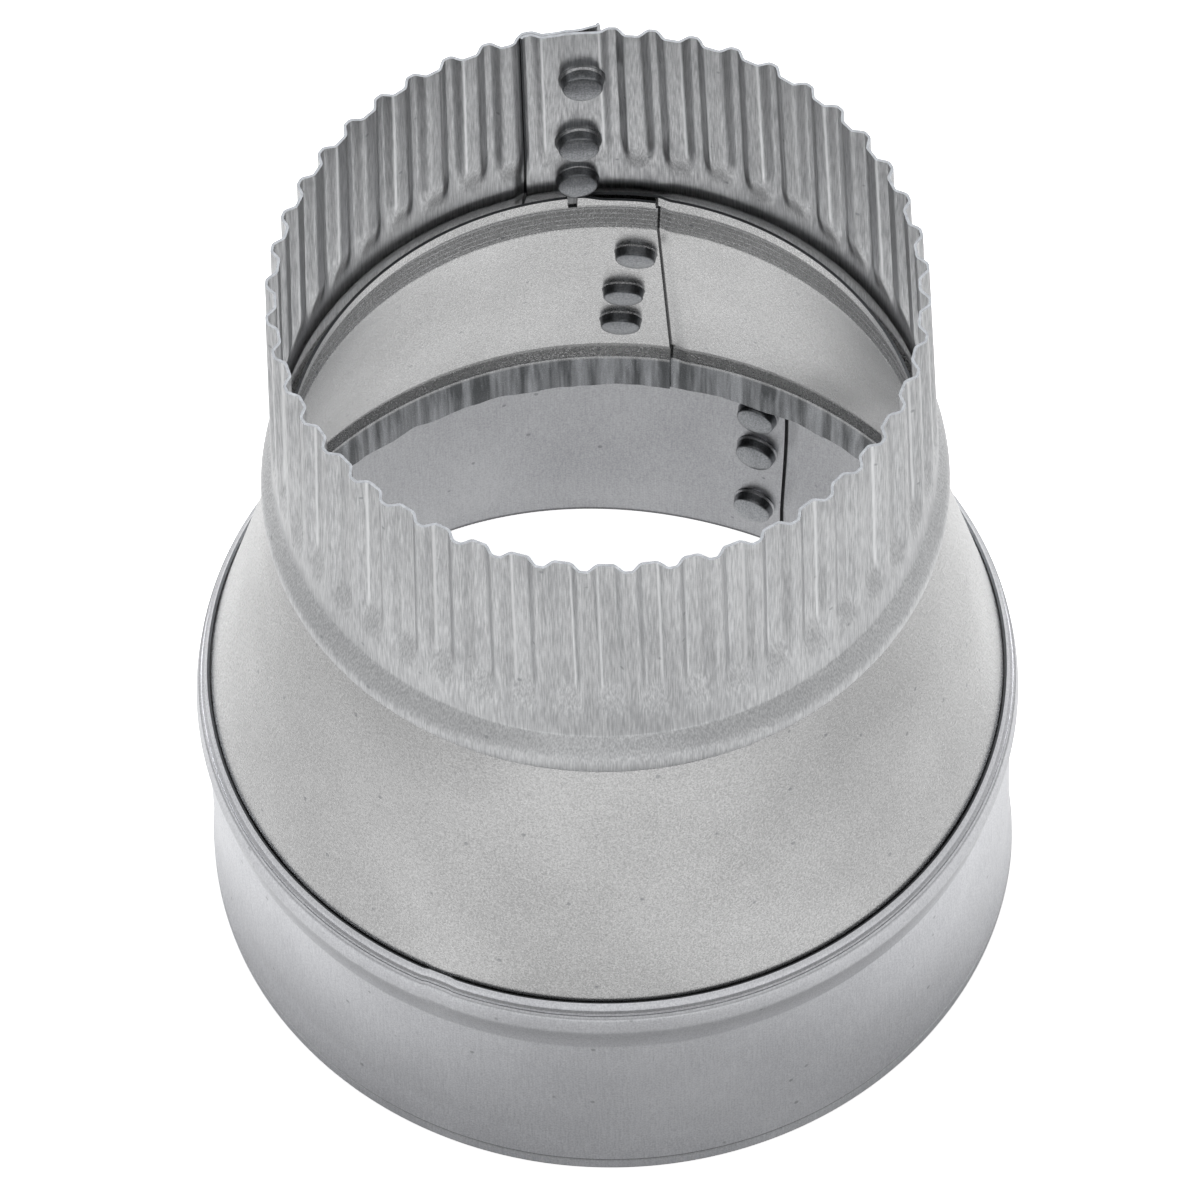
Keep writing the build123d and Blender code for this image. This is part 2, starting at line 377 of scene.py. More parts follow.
# %% Section of the cone
CONE_WALL_START = (62.22, 46.8)
CONE_WALL_END = (49.94, 95.8)
CONE_LINE = (
    (62.24, 35.0, 0.0),
    (62.24, 42.6, 0.8),
    (63.19, 44.3, 0.7),
    (62.34, 46.3, 0.6),
    (*CONE_WALL_START, 0.0),
    (*CONE_WALL_END, 1.0),
    (51.04, 100.4, 1.0),
    (49.2, 103.0, 0.8),
    (48.9, 105.6, 0.0),
)
FOOT_SPACING = 0.9
WALL_SPACING = 3.0
GROOVE_SPACING = 0.24
cone_line = np.vstack([
    bent_line(CONE_LINE[:3], FOOT_SPACING)[:-1],
    bent_line(CONE_LINE[2:6], WALL_SPACING)[:-1],
    bent_line(CONE_LINE[5:], GROOVE_SPACING),
])
print("cone section", len(cone_line), "points")

# %% [markdown]
# The cone's foot is squeezed into the collar's bead, and the squeezed sheet wrinkles, because it has to become
# shorter round than it was rolled. The wrinkles are deepest at the raw lower edge and die out at the groove.
# The upper groove shows the fine rings of the roller, and the lip has a small notch beside the lap.

# %% Cone
CONE_WAVE = 0.03
WRINKLE_TOP = 42.4
WRINKLE_RUN = 5.5
WRINKLE_DEPTH = 0.5
WRINKLES_ROUND = 62.0
RAGGED = 0.45
RAGGED_TOP = 38.0
GROOVE_RINGS = (96.6, 100.6)
RING_PITCH = 0.95
RING_DEPTH = 0.035
LIP_DIP_START = 102.6
NOTCH_AZIMUTH = 94.9
NOTCH_HALF = 0.85
NOTCH_SOFT = 0.08
NOTCH_FLOOR = 103.2
NOTCH_SIDES = (
    -NOTCH_HALF - NOTCH_SOFT, -NOTCH_HALF + NOTCH_SOFT, NOTCH_HALF - NOTCH_SOFT, NOTCH_HALF + NOTCH_SOFT,
)


def cone_relief(angle, azimuth, height):
    turn = np.radians(azimuth)
    along = uneven(turn * WRINKLES_ROUND / 1.3, 2.0)
    fade = ease((WRINKLE_TOP - height) / WRINKLE_RUN)
    wrinkle = -WRINKLE_DEPTH * (0.5 + 0.5 * along) * fade
    wave = -CONE_WAVE * (1.0 + uneven(turn * 4.0 + height * 0.02, 3.0))
    ring = -RING_DEPTH * np.sin(2 * math.pi * height / RING_PITCH) * window(height, *GROOVE_RINGS, 0.5)
    inner_end = 1.0 - ease((angle - 9.0) / 5.0)
    dip = inner_end * ease((height - LIP_DIP_START) / 3.0)
    ragged = RAGGED * uneven(turn * 31.0, 6.0) * ease((RAGGED_TOP - height) / 3.0)
    in_notch = window(azimuth, NOTCH_AZIMUTH - NOTCH_HALF, NOTCH_AZIMUTH + NOTCH_HALF, NOTCH_SOFT)
    cut = np.minimum(0.0, NOTCH_FLOOR - height) * in_notch
    return wrinkle + wave + ring - 0.25 * dip, ragged - 0.6 * dip + cut


cone = roll_smooth(
    "cone_sheet", cone_line, CONE_LAP_START, CONE_LAP, SMOOTH_STEP, 0.8, cone_relief,
    [NOTCH_AZIMUTH + side for side in NOTCH_SIDES],
)

# %% [markdown]
# The crimped collar has 48 crimps: narrow crests outside, wide flat valleys between them, which show inside as
# flat ribs. They run out below into a round wall. The line of the sheet's middle is a formula of the azimuth
# and the height: it says how far a crest or a valley lies inside the round wall.

# %% Shape of the crimps
SMALL_RADIUS = 50.75
SMALL_MIDDLE = SMALL_RADIUS + SHEET / 2
CRIMP_START = 110.0
CRIMP_FULL = 119.5
RIM = 149.5
CRIMPS = 48
PITCH_ANGLE = 360.0 / CRIMPS
FIRST_CREST = 101.55
FULL_DROPS = (0.2, 1.45)
RIM_DROPS = (1.0, 2.4)
CREST_HALF = 0.06
VALLEY_HALF = 0.35
PRESSED_CRESTS = {0: 0.12, 1: 0.75}
PRESSED_TROUGHS = {0: 0.45, 1: 0.60}
# No two real crimps are alike: these turn a crimp's number into its own shift, lean and start.
SHIFT, SHIFT_PHASE = 0.02, 5.1
LEAN, LEAN_PACE, LEAN_PHASE = 0.018, 0.35, 2.4
START_SPREAD, START_PHASE = 0.5, 3.3


def press_at(number, presses):
    pressed = np.zeros(number.shape)
    for which, amount in presses.items():
        pressed[np.mod(number, CRIMPS) == which] = amount
    return pressed


def crimp_offset(azimuth, height):
    """How far the middle line is inside SMALL_MIDDLE, as a negative number."""
    place = (FIRST_CREST - azimuth) / PITCH_ANGLE
    number = np.round(place).astype(int)
    which = np.mod(number, CRIMPS)
    wobble = LEAN * uneven(height * LEAN_PACE, 0.0) * np.sin(which * LEAN_PHASE)
    across = place - number + SHIFT * np.sin(which * SHIFT_PHASE) + wobble
    valley = np.where(across > 0, number, number - 1)
    flank = (np.abs(across) - CREST_HALF) / (VALLEY_HALF - CREST_HALF)
    crest = 1.0 - ease(flank)
    along = np.clip((height - CRIMP_FULL) / (RIM - CRIMP_FULL), 0.0, 1.0)
    crest_drop = between(FULL_DROPS[0], RIM_DROPS[0], along) + press_at(number, PRESSED_CRESTS)
    valley_drop = between(FULL_DROPS[1], RIM_DROPS[1], along) - press_at(valley, PRESSED_TROUGHS)
    own_start = CRIMP_START + START_SPREAD * np.sin(np.mod(valley, CRIMPS) * START_PHASE)
    run_out = ease((height - own_start) / (CRIMP_FULL - CRIMP_START))
    return -run_out * (crest_drop * crest + valley_drop * (1.0 - crest))


print("crimps", CRIMPS, "every", PITCH_ANGLE, "degrees")

# %% [markdown]
# Thin sheet doesn't stay round when it is crimped. The rim is a little oval: it stands out in front on the right
# and in at the back. The shift is given at a few azimuths and grows from the round wall up to the rim.

# %% Oval rim
OVAL_AZIMUTHS = (0, 30, 60, 90, 120, 180, 215, 240, 270, 292, 330, 360)
OVAL = (0.0, 0.2, 0.0, -0.7, -0.5, 0.0, -0.4, -0.5, 0.7, 1.3, 0.6, 0.0)


def oval_shift(azimuth, height):
    share = ease((height - CRIMP_START) / (RIM - CRIMP_START))
    return np.interp(np.mod(azimuth, 360.0), OVAL_AZIMUTHS, OVAL) * share


print("the rim is out of round by", min(OVAL), "to", max(OVAL), "mm")

# %% [markdown]
# The sheet is moved off the crimped line along the line's own normal, so that its thickness and the lap stay
# even. This sheet is rolled clockwise, and its columns stand where each crimp needs them. The outer end of the
# lap curls up off the rim, where nothing holds it.

# %% Crimped collar
CRIMPED_LINE = (
    (51.7, 97.4, 0.0),
    (52.5, 98.5, 0.8),
    (52.8, 100.8, 6.0),
    (SMALL_RADIUS, 105.6, 2.0),
    (SMALL_RADIUS, CRIMP_START, 0.0),
)
INNER_END = 102.8
CRIMPED_LAP = 15.0
CRIMPED_STEP_START = 357.5
CRIMPED_STEP_END = 359.6
ACROSS_PITCH = (-0.46, -0.4, -0.345, -0.3, -0.27, -0.24, -0.2, -0.16, -0.12, -0.09, -0.06, -0.03)
CLOSEST_COLUMNS = 0.03
END_CURL = 1.0
CURL_RUN = 5.5
CURL_START = 143.0
SLOPE_STEP = 0.02


def crimped_columns():
    """Angles from the inner end, with the same places across every crimp."""
    parts = sorted(ACROSS_PITCH + tuple(-part for part in ACROSS_PITCH) + (0.0, 0.5))
    centre = np.arange(-2, CRIMPS + 4)[:, None]
    angle = (INNER_END - FIRST_CREST + PITCH_ANGLE * (centre + np.array(parts)[None, :])).ravel()
    angle = angle[(angle > 0.1) & (angle < 360.0 + CRIMPED_LAP - 0.1)]
    steps = np.linspace(CRIMPED_STEP_START, CRIMPED_STEP_END, 5)
    angle = np.unique(np.concatenate([[0.0], angle, steps, [360.0 + CRIMPED_LAP]]))
    return angle[np.append(True, np.diff(angle) > CLOSEST_COLUMNS)]


def roll_crimped(name, line):
    angle = crimped_columns()
    shift = LAP_STEP * ease((angle - CRIMPED_STEP_START) / (CRIMPED_STEP_END - CRIMPED_STEP_START))
    azimuth = (INNER_END - angle)[:, None]
    height = line[None, :, 1]
    after = crimp_offset(azimuth + SLOPE_STEP, height)
    before = crimp_offset(azimuth - SLOPE_STEP, height)
    lean = np.arctan2((after - before) / (2 * math.radians(SLOPE_STEP)), SMALL_MIDDLE)
    middle = SMALL_MIDDLE + crimp_offset(azimuth, height) + oval_shift(azimuth, height)
    turn = np.radians(azimuth)
    lifted = ease((angle[:, None] - 360.0 - CRIMPED_LAP + CURL_RUN) / CURL_RUN)
    curl = END_CURL * lifted * ease((height - CURL_START) / (RIM - CURL_START))
    grids = []
    for layer in (0.0, SHEET):
        place = line + outward(line) * layer
        off = place[None, :, 0] - SMALL_MIDDLE + shift[:, None] + curl
        radial = middle + off * np.cos(lean)
        sideways = -off * np.sin(lean)
        x = radial * np.cos(turn) - sideways * np.sin(turn)
        y = radial * np.sin(turn) + sideways * np.cos(turn)
        grids.append(np.stack([x, y, np.broadcast_to(place[None, :, 1], x.shape)], axis=-1))
    return skin(name, *grids)


crimped_line = np.vstack([
    bent_line(CRIMPED_LINE, 2.0)[:-1],
    [(SMALL_RADIUS, height) for height in np.linspace(CRIMP_START, CRIMP_FULL, 9)[:-1]],
    [(SMALL_RADIUS, height) for height in np.linspace(CRIMP_FULL, RIM, 10)],
])
crimped_collar = roll_crimped("crimped_collar_sheet", crimped_line)

# %% [markdown]
# The seam buttons are clinched: a punch pushes both layers of the lap into a small domed cup that stands in
# towards the axis and leaves a round pocket outside. Each is turned from a profile of radius and height pairs,
# and one matrix seats it on the wall with its axis pointing at the duct's axis.

# %% Turned pieces
TURN_STEPS = 40


def turned(line):
    """Points of a profile of (radius, height) pairs turned about its own axis, and the faces between them."""
    steps = [2 * math.pi * step / TURN_STEPS for step in range(TURN_STEPS)]
    points = [(0.0, 0.0, line[0][1]), (0.0, 0.0, line[-1][1])]
    points += [(r * math.cos(a), r * math.sin(a), height) for r, height in line[1:-1] for a in steps]
    rings = len(line) - 2
    faces = []
    for step in range(TURN_STEPS):
        following = (step + 1) % TURN_STEPS
        faces.append((0, 2 + step, 2 + following))
        last = 2 + (rings - 1) * TURN_STEPS
        faces.append((1, last + following, last + step))
        for ring in range(rings - 1):
            low = 2 + ring * TURN_STEPS
            high = low + TURN_STEPS
            faces.append((low + step, high + step, high + following, low + following))
    return points, faces


def seat_matrix(radius, azimuth, height, lean):
    """Stands a turned piece on the wall with its axis pointing at the duct's axis."""
    turn = math.radians(azimuth)
    tip = math.radians(lean)
    inward = Vector((-math.cos(turn) * math.cos(tip), -math.sin(turn) * math.cos(tip), -math.sin(tip)))
    along = Vector((-math.sin(turn), math.cos(turn), 0.0))
    across = inward.cross(along)
    place = Vector((radius * math.cos(turn) + drift(height), radius * math.sin(turn), height))
    return Matrix((
        (along.x, across.x, inward.x, place.x),
        (along.y, across.y, inward.y, place.y),
        (along.z, across.z, inward.z, place.z),
        (0.0, 0.0, 0.0, 1.0),
    ))


def turned_set(name, line, seats):
    """One object with a turned piece on every seat."""
    points, faces = [], []
    for seat in seats:
        own_points, own_faces = turned(line)
        base = len(points)
        points += [tuple(MM * (seat @ Vector(point))) for point in own_points]
        faces += [tuple(base + corner for corner in face) for face in own_faces]
    mesh = bpy.data.meshes.new(name)
    mesh.from_pydata(points, [], faces)
    work = bmesh.new()
    work.from_mesh(mesh)
    bmesh.ops.recalc_face_normals(work, faces=work.faces)
    work.to_mesh(mesh)
    work.free()
    tool = bpy.data.objects.new(name, mesh)
    bpy.context.scene.collection.objects.link(tool)
    return tool


print("turned pieces have", TURN_STEPS, "sides")

# %% [markdown]
# The button's profile starts at the top of its dome and goes down into the sheet by a plug, which reaches
# through the lap, so that nothing shows between the two layers. The pocket's profile is the punch.

# %% Button and pocket
BUTTON_BASE = 3.45
BUTTON_CAP = 3.12
CAP_DOME = 0.5
BUTTON_HEIGHT = 2.05
POCKET_MOUTH = 2.25
POCKET_END = 1.75
PUNCH_REACH = 1.5
SMOOTH_PLUG = LAP_STEP + SHEET / 2
CRIMPED_PLUG = LAP_STEP + SHEET + 0.45


def button_line(plug):
    line = bent_line(
        (
            (0.0, BUTTON_HEIGHT, 0.0),
            (BUTTON_CAP * 0.3, BUTTON_HEIGHT - CAP_DOME * 0.03, 3.0),
            (BUTTON_CAP * 0.7, BUTTON_HEIGHT - CAP_DOME * 0.35, 3.0),
            (BUTTON_CAP, BUTTON_HEIGHT - CAP_DOME, 0.5),
            (BUTTON_BASE - 0.1, 0.2, 0.2),
            (BUTTON_BASE + 0.2, -0.05, 0.0),
            (BUTTON_BASE + 0.2, -plug, 0.0),
            (0.0, -plug, 0.0),
        ),
        5.0,
    )
    return [tuple(point) for point in line]


POCKET_LINE = [
    (0.0, BUTTON_HEIGHT - SHEET),
    (POCKET_END - 0.2, BUTTON_HEIGHT - SHEET),
    (POCKET_END, BUTTON_HEIGHT - SHEET - 0.2),
    (POCKET_MOUTH, -LAP_STEP),
    (POCKET_MOUTH + 0.15, -LAP_STEP - SHEET - PUNCH_REACH),
    (0.0, -LAP_STEP - SHEET - PUNCH_REACH),
]
print("button", 2 * BUTTON_BASE, "mm across and", BUTTON_HEIGHT, "mm high")

# %% [markdown]
# Buttons join the sheet, and pockets are cut out of it, with exact booleans, because the pocket has to be a real
# hole in the outer layer. A face belongs to a button when its middle lies within the button's own cylinder.

# %% Clinching
BUTTON_MIDDLE = 1.4
BUTTON_REACH = 1.15


def mark_buttons(solid, seats):
    """Gives the faces on the buttons their own material slot."""
    centres = np.empty(3 * len(solid.polygons))
    solid.polygons.foreach_get("center", centres)
    centres = np.hstack([centres.reshape(-1, 3) / MM, np.ones((len(solid.polygons), 1))])
    slots = np.empty(len(solid.polygons), np.int32)
    solid.polygons.foreach_get("material_index", slots)
    for seat in seats:
        local = centres @ np.array(seat.inverted()).T
        beside = np.hypot(local[:, 0], local[:, 1]) < BUTTON_BASE
        slots[beside & (np.abs(local[:, 2] - BUTTON_MIDDLE) < BUTTON_REACH)] = BUTTON_SLOT
    solid.polygons.foreach_set("material_index", slots)


def clinch(piece, groups):
    """Joins buttons to a sheet and cuts their pockets. groups is a list of (seats, plug)."""
    seats = [seat for group, _ in groups for seat in group]
    tools = [turned_set(piece.name + "_boss%d" % order, button_line(plug), group)
             for order, (group, plug) in enumerate(groups)]
    pockets = turned_set(piece.name + "_pocket", POCKET_LINE, seats)
    for tool, operation in [(tool, "UNION") for tool in tools] + [(pockets, "DIFFERENCE")]:
        modifier = piece.modifiers.new(operation.lower(), "BOOLEAN")
        modifier.operation = operation
        modifier.solver = "EXACT"
        modifier.object = tool
    bpy.context.view_layer.update()
    solid = bpy.data.meshes.new_from_object(piece.evaluated_get(bpy.context.evaluated_depsgraph_get()))
    piece.modifiers.clear()
    piece.data = solid
    mark_buttons(solid, seats)
    for tool in tools + [pockets]:
        bpy.data.objects.remove(tool)
    print(piece.name, "with", len(seats), "buttons, faces", len(solid.polygons))


print("a plug reaches", round(SMOOTH_PLUG, 3), "mm into a smooth lap")

# %% [markdown]
# Each seam has three buttons, read off the photograph as an azimuth and a height. On the plain collar they follow
# the dent, on the cone they lean with the wall, and on the crimped collar two stand on a crest that the lap
# pressed flat, and the lowest one stands on the round wall below the crimps.

# %% Seats of the buttons
CONE_SLOPE = (CONE_WALL_START[0] - CONE_WALL_END[0]) / (CONE_WALL_END[1] - CONE_WALL_START[1])
CONE_LEAN = math.degrees(math.atan(CONE_SLOPE))
LARGE_BUTTONS = ((66.5, 31.3), (66.5, 22.1), (66.5, 9.1))
CONE_BUTTONS = ((83.8, 85.8), (86.2, 69.6), (86.8, 56.9))
CRIMPED_BUTTONS = ((92.2, 137.2), (93.4, 120.0))
ROUND_WALL_BUTTON = (93.8, 108.2)
BUTTON_SINK = 0.5


def pressed_crest(height):
    """Radius of the sheet's middle on the crest that the lap pressed flat."""
    along = (height - CRIMP_FULL) / (RIM - CRIMP_FULL)
    return SMALL_MIDDLE - between(FULL_DROPS[0], RIM_DROPS[0], along) - PRESSED_CRESTS[1]


large_seats = [
    seat_matrix(LARGE_RADIUS + float(collar_relief(0.0, azimuth, height)[0]), azimuth, height, 0.0)
    for azimuth, height in LARGE_BUTTONS
]
cone_seats = [
    seat_matrix(CONE_WALL_START[0] - CONE_SLOPE * (height - CONE_WALL_START[1]), azimuth, height, CONE_LEAN)
    for azimuth, height in CONE_BUTTONS
]
crimped_seats = [
    seat_matrix(
        pressed_crest(height) - SHEET / 2 - BUTTON_SINK + float(oval_shift(azimuth, height)), azimuth, height, 0.0
    )
    for azimuth, height in CRIMPED_BUTTONS
]
round_wall_seats = [seat_matrix(SMALL_RADIUS, *ROUND_WALL_BUTTON, 0.0)]
clinch(plain_collar, [(large_seats, SMOOTH_PLUG)])
clinch(cone, [(cone_seats, SMOOTH_PLUG)])
clinch(crimped_collar, [(crimped_seats, CRIMPED_PLUG), (round_wall_seats, SMOOTH_PLUG)])

# %% [markdown]
# Sheet metal shows soft bends and crisp cut edges side by side. All faces are shaded smooth, edges that turn by
# more than 32 degrees stay sharp, and weighted normals keep the large flat faces from looking puffed up.

# %% Smooth shading with crisp edges
SHARP_ANGLE = 32.0
EVEN_WEIGHT = 50


def smooth_with_edges(piece, degrees):
    mesh = piece.data
    work = bmesh.new()
    work.from_mesh(mesh)
    for face in work.faces:
        face.smooth = True
    for edge in work.edges:
        edge.smooth = not (edge.is_manifold and edge.calc_face_angle(0.0) > math.radians(degrees))
    sharp = sum(not edge.smooth for edge in work.edges)
    work.to_mesh(mesh)
    work.free()
    weighted = piece.modifiers.new("weighted_normals", "WEIGHTED_NORMAL")
    weighted.keep_sharp = True
    weighted.weight = EVEN_WEIGHT
    print(piece.name, "sharp edges", sharp)


for piece in (plain_collar, cone, crimped_collar):
    smooth_with_edges(piece, SHARP_ANGLE)

# %% [markdown]
# Galvanised steel is sheet dipped in molten zinc. The zinc is a metal, so the shader is fully metallic with its
# default IOR, and its grey comes from the base colour. Mill rolls leave it satin, with a roughness near 0.3, so it
# shows a soft picture of what is around it and no sharp highlight. The hex colours are sRGB, and one function
# turns them to the linear values that shaders need.

# %% Colours and nodes
def linear(code):
    values = [int(code[place:place + 2], 16) / 255 for place in (1, 3, 5)]
    return [v / 12.92 if v <= 0.04045 else ((v + 0.055) / 1.055) ** 2.4 for v in values] + [1.0]


def add_node(tree, kind, inputs=None, **settings):
    """Adds a node, sets its settings, and fills or links its inputs."""
    node = tree.nodes.new("ShaderNode" + kind)
    for name, value in settings.items():
        setattr(node, name, value)
    for name, value in (inputs or {}).items():
        if isinstance(value, bpy.types.NodeSocket):
            tree.links.new(value, node.inputs[name])
        else:
            node.inputs[name].default_value = value
    return node


def new_material(name):
    material = bpy.data.materials.new(name)
    material.use_nodes = True
    return material, material.node_tree, material.node_tree.nodes["Principled BSDF"]


def per_metre(size_mm):
    """Texture scale whose features are about this many millimetres."""
    return 1.0 / (size_mm * MM)


print("mid grey #808080 is", round(linear("#808080")[0], 3), "in linear values")

# %% [markdown]
# Zinc is never one flat grey. The bath leaves clouds of about 22 mm, and the mill leaves grain and, along the way
# the sheet was drawn, streaks. Real grain is finer than a pixel of the render, so grain and streaks are drawn as
# coarse as they need to show: 0.3 and 0.22 mm. A few dark pits of under a millimetre lie about 5 mm apart.

# %% Grain, clouds and pits of the zinc
CLOUD = 22.0
GRAIN = 0.3
STREAK = 0.22
STREAK_STRETCH = 0.06
PIT_SPACING = 5.2
PIT_RADII = (0.05, 0.085)
PIT_STRENGTH = 0.55
GRAIN_SHARE = 0.72
TONE_RANGE = (0.36, 0.64)


def zinc_grain(tree, place, upright, streaks):
    """Value of the fine pattern: grain, and streaks by the given share."""
    grain = add_node(
        tree, "TexNoise", {"Vector": place, "Scale": per_metre(GRAIN), "Detail": 1.0, "Roughness": 0.5}
    ).outputs["Fac"]
    streak = add_node(
        tree, "TexNoise", {"Vector": upright, "Scale": per_metre(STREAK), "Detail": 1.0, "Roughness": 0.6}
    ).outputs["Fac"]
    return add_node(tree, "Mix", {0: streaks, 2: grain, 3: streak}, data_type="FLOAT").outputs[0]


def zinc_colour(tree, place, fine, light, dark):
    """Colour between the two greys, with clouds under the fine pattern and pits over it."""
    cloud = add_node(
        tree, "TexNoise", {"Vector": place, "Scale": per_metre(CLOUD), "Detail": 2.0, "Roughness": 0.5}
    ).outputs["Fac"]
    both = add_node(tree, "Mix", {0: GRAIN_SHARE, 2: cloud, 3: fine}, data_type="FLOAT").outputs[0]
    tone = add_node(
        tree, "MapRange", {"Value": both, "From Min": TONE_RANGE[0], "From Max": TONE_RANGE[1]}
    ).outputs["Result"]
    clean = add_node(tree, "Mix", {0: tone, 6: linear(dark), 7: linear(light)}, data_type="RGBA").outputs[2]
    dots = add_node(tree, "TexVoronoi", {"Vector": place, "Scale": per_metre(PIT_SPACING)}).outputs["Distance"]
    pit = add_node(
        tree, "MapRange",
        {"Value": dots, "From Min": PIT_RADII[0], "From Max": PIT_RADII[1], "To Min": PIT_STRENGTH, "To Max": 0.0},
    ).outputs["Result"]
    return add_node(tree, "Mix", {0: pit, 6: clean, 7: linear("#7E8084")}, data_type="RGBA").outputs[2]


print("pits up to", round(2 * PIT_RADII[1] * PIT_SPACING, 2), "mm across")

# %% [markdown]
# Lines on the sheet are set by place rather than drawn in an image: a line is wherever a height or an azimuth is
# near a chosen value. The azimuth is measured from the piece's own axis, which drifts. The inner face can have a
# darker tone than the outer face, as painted shade, and a point's position and its normal tell the two apart: both
# point away from the axis on the outer face.

# %% Finding a place on the sheet
SIDE_REACH = 20.0
LINE_SIDE_REACH = 5.0


def azimuth_at(tree, place, slide):
    """Degrees round the axis, which drifts between two heights. slide is (low, high, drift low, drift high)."""
    parts = add_node(tree, "SeparateXYZ", {"Vector": place})
    axis = add_node(
        tree, "MapRange",
        {"Value": parts.outputs["Z"], "From Min": slide[0] * MM, "From Max": slide[1] * MM,
         "To Min": slide[2] * MM, "To Max": slide[3] * MM},
    ).outputs["Result"]
    across = add_node(tree, "Math", {0: parts.outputs["X"], 1: axis}, operation="SUBTRACT").outputs[0]
    turn = add_node(tree, "Math", {0: parts.outputs["Y"], 1: across}, operation="ARCTAN2").outputs[0]
    return add_node(tree, "Math", {0: turn, 1: 180 / math.pi}, operation="MULTIPLY").outputs[0]


def near(tree, value, target, reach, soft, strength):
    """strength where value is within reach of target, and 0 further away."""
    gap = add_node(tree, "Math", {0: value, 1: target}, operation="SUBTRACT").outputs[0]
    away = add_node(tree, "Math", {0: gap}, operation="ABSOLUTE").outputs[0]
    return add_node(
        tree, "MapRange",
        {"Value": away, "From Min": reach, "From Max": reach + soft, "To Min": strength, "To Max": 0.0},
    ).outputs["Result"]


def facing_out(tree, place):
    """Positive on the outer face and negative on the inner face, about as large as the radius."""
    facing = add_node(tree, "NewGeometry").outputs["True Normal"]
    flat = add_node(tree, "VectorMath", {0: place, 1: (1.0, 1.0, 0.0)}, operation="MULTIPLY").outputs["Vector"]
    return add_node(tree, "VectorMath", {0: flat, 1: facing}, operation="DOT_PRODUCT").outputs["Value"]


def by_side(tree, side, inside, reach):
    """The value inside on the inner face, and 1 on the outer face."""
    return add_node(
        tree, "MapRange",
        {"Value": side, "From Min": -reach * MM, "From Max": reach * MM, "To Min": inside, "To Max": 1.0},
    ).outputs["Result"]


print("walls more than", SIDE_REACH, "mm from the axis count fully as inside or outside")

# %% [markdown]
# Four marks go over the zinc. Both edges of every rib get a thin painted highlight. The inner end of a lap gets a
# thin painted shadow line. Rolled lines, edges and the plain collar's bead get painted shade. And the foot of the
# cone, below its groove, is darker in uneven upright patches.

# %% Marks on the sheet
RIB_EDGE = 0.3
# Each line is a half width, a soft edge and a strength.
RIB_LINE = (0.012, 0.03, 0.7)
RIB_LINE_RUN = 3.0
WHOLE_TURNS = 200
SEAM_LINE = (0.12, 0.1, 0.9)
FOOT_PATCH = 2.2


# Paints a thin bright line, a painted highlight, along both edges of every rib where the crimps are full.
def painted_rib_highlights(tree, height, azimuth, colour):
    pitches = add_node(
        tree, "Math",
        {0: azimuth, 1: 1 / PITCH_ANGLE, 2: WHOLE_TURNS - FIRST_CREST / PITCH_ANGLE}, operation="MULTIPLY_ADD",
    ).outputs[0]
    from_crest = add_node(tree, "Math", {0: pitches, 1: 1.0}, operation="PINGPONG").outputs[0]
    line = near(tree, from_crest, RIB_EDGE, *RIB_LINE)
    high = add_node(
        tree, "MapRange",
        {"Value": height, "From Min": (CRIMP_FULL - RIB_LINE_RUN) * MM, "From Max": CRIMP_FULL * MM},
    ).outputs["Result"]
    strength = add_node(tree, "Math", {0: line, 1: high}, operation="MULTIPLY").outputs[0]
    return add_node(tree, "Mix", {0: strength, 6: colour, 7: linear("#EEEFF0")}, data_type="RGBA").outputs[2]


def seam_shadow(tree, azimuth, side, seam, colour):
    inward = add_node(tree, "Math", {0: side, 1: 0.0}, operation="LESS_THAN").outputs[0]
    line = near(tree, azimuth, seam, *SEAM_LINE)
    shade = add_node(tree, "Math", {0: line, 1: inward}, operation="MULTIPLY").outputs[0]
    return add_node(tree, "Mix", {0: shade, 6: colour, 7: linear("#1E1E1F")}, data_type="RGBA").outputs[2]


# Paints a dark band round the sheet at one height: painted shade in a groove, at an edge or over a bead.
def painted_shade_ring(tree, height, side, ring, colour):
    """ring is (height, half width, soft edge, strength outside, share of it inside)."""
    level, reach, soft, strength, inside = ring
    line = near(tree, height, level * MM, reach * MM, soft * MM, strength)
    amount = add_node(
        tree, "Math", {0: line, 1: by_side(tree, side, inside, LINE_SIDE_REACH)}, operation="MULTIPLY"
    ).outputs[0]
    return add_node(tree, "Mix", {0: amount, 6: colour, 7: linear("#2A2A2C")}, data_type="RGBA").outputs[2]


# Makes the cone's foot below its groove darker, in uneven upright patches.
def darker_foot_patches(tree, height, upright, top, colour):
    squeezed = add_node(
        tree, "MapRange", {"Value": height, "From Min": (top + 0.5) * MM, "From Max": (top - 0.7) * MM}
    ).outputs["Result"]
    foot_noise = add_node(
        tree, "TexNoise", {"Vector": upright, "Scale": per_metre(FOOT_PATCH), "Detail": 3.0, "Roughness": 0.6}
    ).outputs["Fac"]
    patchy = add_node(tree, "MapRange", {"Value": foot_noise, "From Min": 0.4, "From Max": 0.66}).outputs["Result"]
    foot_tone = add_node(
        tree, "Mix", {0: patchy, 6: linear("#4C4E50"), 7: linear("#8E9093")}, data_type="RGBA"
    ).outputs[2]
    return add_node(tree, "Mix", {0: squeezed, 6: colour, 7: foot_tone}, data_type="RGBA").outputs[2]


print("shadow line at a lap", 2 * SEAM_LINE[0], "degrees wide")

# %% [markdown]
# One function makes the galvanised material from these parts, for all three sheets and for the buttons. The
# fine pattern also sets the roughness and a shallow bump, so that light and dark grains shine a little
# differently. The grey is lower on the inner face of the collars, as painted shade for the inside of the duct.

# %% Galvanised steel
ROUGHNESS_SPREAD = 0.04
FINE_RANGE = (0.3, 0.7)


